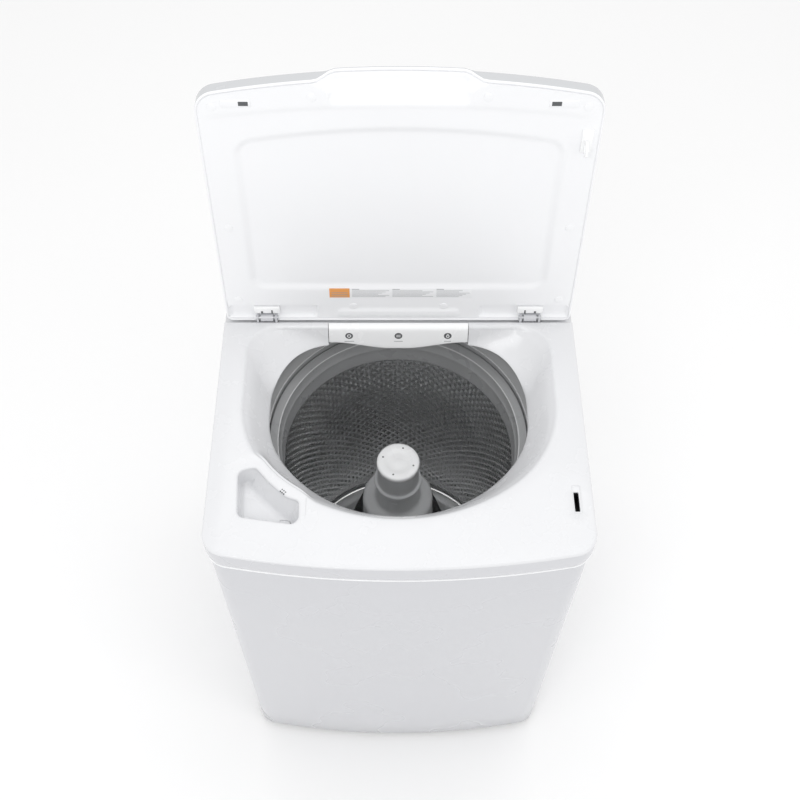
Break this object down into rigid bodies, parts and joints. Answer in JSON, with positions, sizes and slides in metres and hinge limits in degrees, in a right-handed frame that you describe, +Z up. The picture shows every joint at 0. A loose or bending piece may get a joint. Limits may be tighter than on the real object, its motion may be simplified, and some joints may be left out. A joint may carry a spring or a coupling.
{
  "type": "top load washing machine",
  "caption": "White top load washing machine with a bowed front, open lid, round tub opening, agitator, bleach cup, dispenser drawer and rear console.",
  "frame": {"origin": "on the floor, under the middle of the machine's footprint", "axes": "+Z up, -Y towards the front, +X to the right of someone facing the front"},
  "size_m": [0.68, 0.6999, 1.507],
  "materials": {
    "painted_steel": "smooth white enamel on pressed steel",
    "plain_steel": "zinc plated steel",
    "rubber": "matt black rubber",
    "white_gloss": "glossy white moulded plastic",
    "console_face": "satin light grey plastic",
    "knob_plastic": "satin silver plastic",
    "grey_plastic": "satin mid grey moulded plastic",
    "tub_plastic": "plain pale grey moulded plastic",
    "black_plastic": "matt black moulded plastic",
    "hose_rubber": "grey ribbed hose",
    "circuit_board": "green circuit board",
    "stainless": "embossed and perforated stainless steel",
    "cast_aluminium": "cast aluminium",
    "bearing_steel": "turned steel"
  },
  "bodies": {
    "cabinet": {"cabinet_wrap": "painted_steel", "rear_panel": "plain_steel", "base_frame": "plain_steel", "corner_brackets": "plain_steel", "suspension_rods": "plain_steel", "top_deck": "white_gloss", "bleach_cup": "white_gloss", "lid_lock_housing": "black_plastic", "hinge_brackets": "plain_steel", "hinge_covers": "white_gloss", "dispenser_housing": "tub_plastic", "console_shell": "white_gloss", "console_panel": "console_face", "control_board": "circuit_board", "water_inlet_valve": "black_plastic", "inlet_hose": "hose_rubber", "pressure_sensor": "black_plastic", "cord_gland": "black_plastic", "drain_outlet": "black_plastic", "rear_screws": "plain_steel"},
    "lid": {"lid_outer_shell": "white_gloss", "lid_liner": "white_gloss", "lid_bumpers": "rubber", "lid_strike": "black_plastic", "hinge_arms": "plain_steel", "hinge_pins": "plain_steel"},
    "drawer": {"dispenser_drawer": "white_gloss"},
    "lock_slider": {"lock_bolt": "black_plastic"},
    "knob": {"control_knob": "knob_plastic"},
    "power_key": {"power_button": "knob_plastic"},
    "start_key": {"start_button": "knob_plastic"},
    "tub": {"outer_tub": "tub_plastic", "tub_cover_ring": "grey_plastic", "bearing_housing": "cast_aluminium", "tub_bearings": "bearing_steel", "tub_seal": "rubber", "tub_brackets": "plain_steel", "suspension_springs": "bearing_steel", "motor": "cast_aluminium", "motor_bracket": "plain_steel", "drive_belt": "rubber", "shift_actuator": "black_plastic", "drain_pump": "tub_plastic", "drain_hose": "hose_rubber"},
    "basket": {"basket_wall": "stainless", "basket_base": "cast_aluminium", "balance_ring": "grey_plastic", "spin_tube": "bearing_steel"},
    "clutch": {"clutch_sleeve": "bearing_steel"},
    "agitator_drive": {"agitator": "grey_plastic", "agitator_bolt": "bearing_steel", "drive_shaft": "bearing_steel", "drive_pulley": "cast_aluminium"},
    "softener_cap": {"agitator_cap": "white_gloss"},
    "motor_rotor": {"motor_pulley": "cast_aluminium"},
    "impeller": {"pump_impeller": "black_plastic"},
    "levelling_foot_front_left": {"foot_front_left": "rubber"},
    "levelling_foot_front_right": {"foot_front_right": "rubber"},
    "levelling_foot_rear_left": {"foot_rear_left": "rubber"},
    "levelling_foot_rear_right": {"foot_rear_right": "rubber"}
  },
  "joints": [
    {"name": "lid_hinge", "type": "hinge", "parent": "cabinet", "child": "lid", "pos_m": [0, 0.1825, 0.986], "axis": [1, 0, 0], "range_deg": [0, 98]},
    {"name": "drawer_slide", "type": "slide", "parent": "cabinet", "child": "drawer", "axis": [0, -1, 0], "range_m": [0, 0.12]},
    {"name": "lock_slide", "type": "slide", "parent": "cabinet", "child": "lock_slider", "axis": [1, 0, 0], "range_m": [0, 0.01]},
    {"name": "knob_turn", "type": "hinge", "parent": "cabinet", "child": "knob", "pos_m": [0, 0.24448, 1.04606], "axis": [0, -0.9432, 0.3321], "continuous": true},
    {"name": "power_press", "type": "slide", "parent": "cabinet", "child": "power_key", "axis": [0, 0.9432, -0.3321], "range_m": [0, 0.0025], "stiffness_N_per_m": 700, "springref_m": -0.001},
    {"name": "start_press", "type": "slide", "parent": "cabinet", "child": "start_key", "axis": [0, 0.9432, -0.3321], "range_m": [0, 0.0025], "stiffness_N_per_m": 700, "springref_m": -0.001},
    {"name": "tub_bounce", "type": "slide", "parent": "cabinet", "child": "tub", "axis": [0, 0, 1], "range_m": [-0.025, 0.006], "stiffness_N_per_m": 9000, "springref_m": 0.04118, "deforming": ["suspension_springs", "drain_hose"]},
    {"name": "basket_spin", "type": "hinge", "parent": "tub", "child": "basket", "pos_m": [0, -0.01, 0.5], "axis": [0, 0, 1], "continuous": true},
    {"name": "clutch_shift", "type": "slide", "parent": "basket", "child": "clutch", "axis": [0, 0, -1], "range_m": [0, 0.006], "stiffness_N_per_m": 400, "springref_m": -0.02},
    {"name": "agitator_spin", "type": "hinge", "parent": "tub", "child": "agitator_drive", "pos_m": [0, -0.01, 0.5], "axis": [0, 0, 1], "continuous": true},
    {"name": "cap_lift", "type": "slide", "parent": "agitator_drive", "child": "softener_cap", "axis": [0, 0, 1], "range_m": [0, 0.06]},
    {"name": "motor_spin", "type": "hinge", "parent": "tub", "child": "motor_rotor", "pos_m": [-0.15, 0.065, 0.1], "axis": [0, 0, 1], "continuous": true},
    {"name": "pump_spin", "type": "hinge", "parent": "tub", "child": "impeller", "pos_m": [0.165, -0.105, 0.17], "axis": [0, 0, 1], "continuous": true},
    {"name": "foot_front_left_screw", "type": "slide", "parent": "cabinet", "child": "levelling_foot_front_left", "axis": [0, 0, -1], "range_m": [-0.0005, 0.012]},
    {"name": "foot_front_right_screw", "type": "slide", "parent": "cabinet", "child": "levelling_foot_front_right", "axis": [0, 0, -1], "range_m": [-0.0005, 0.012]},
    {"name": "foot_rear_left_screw", "type": "slide", "parent": "cabinet", "child": "levelling_foot_rear_left", "axis": [0, 0, -1], "range_m": [-0.0005, 0.012]},
    {"name": "foot_rear_right_screw", "type": "slide", "parent": "cabinet", "child": "levelling_foot_rear_right", "axis": [0, 0, -1], "range_m": [-0.0005, 0.012]}
  ],
  "couplings": [
    {"joint": "motor_spin", "follows": "agitator_spin", "ratio": 3.6277}
  ]
}
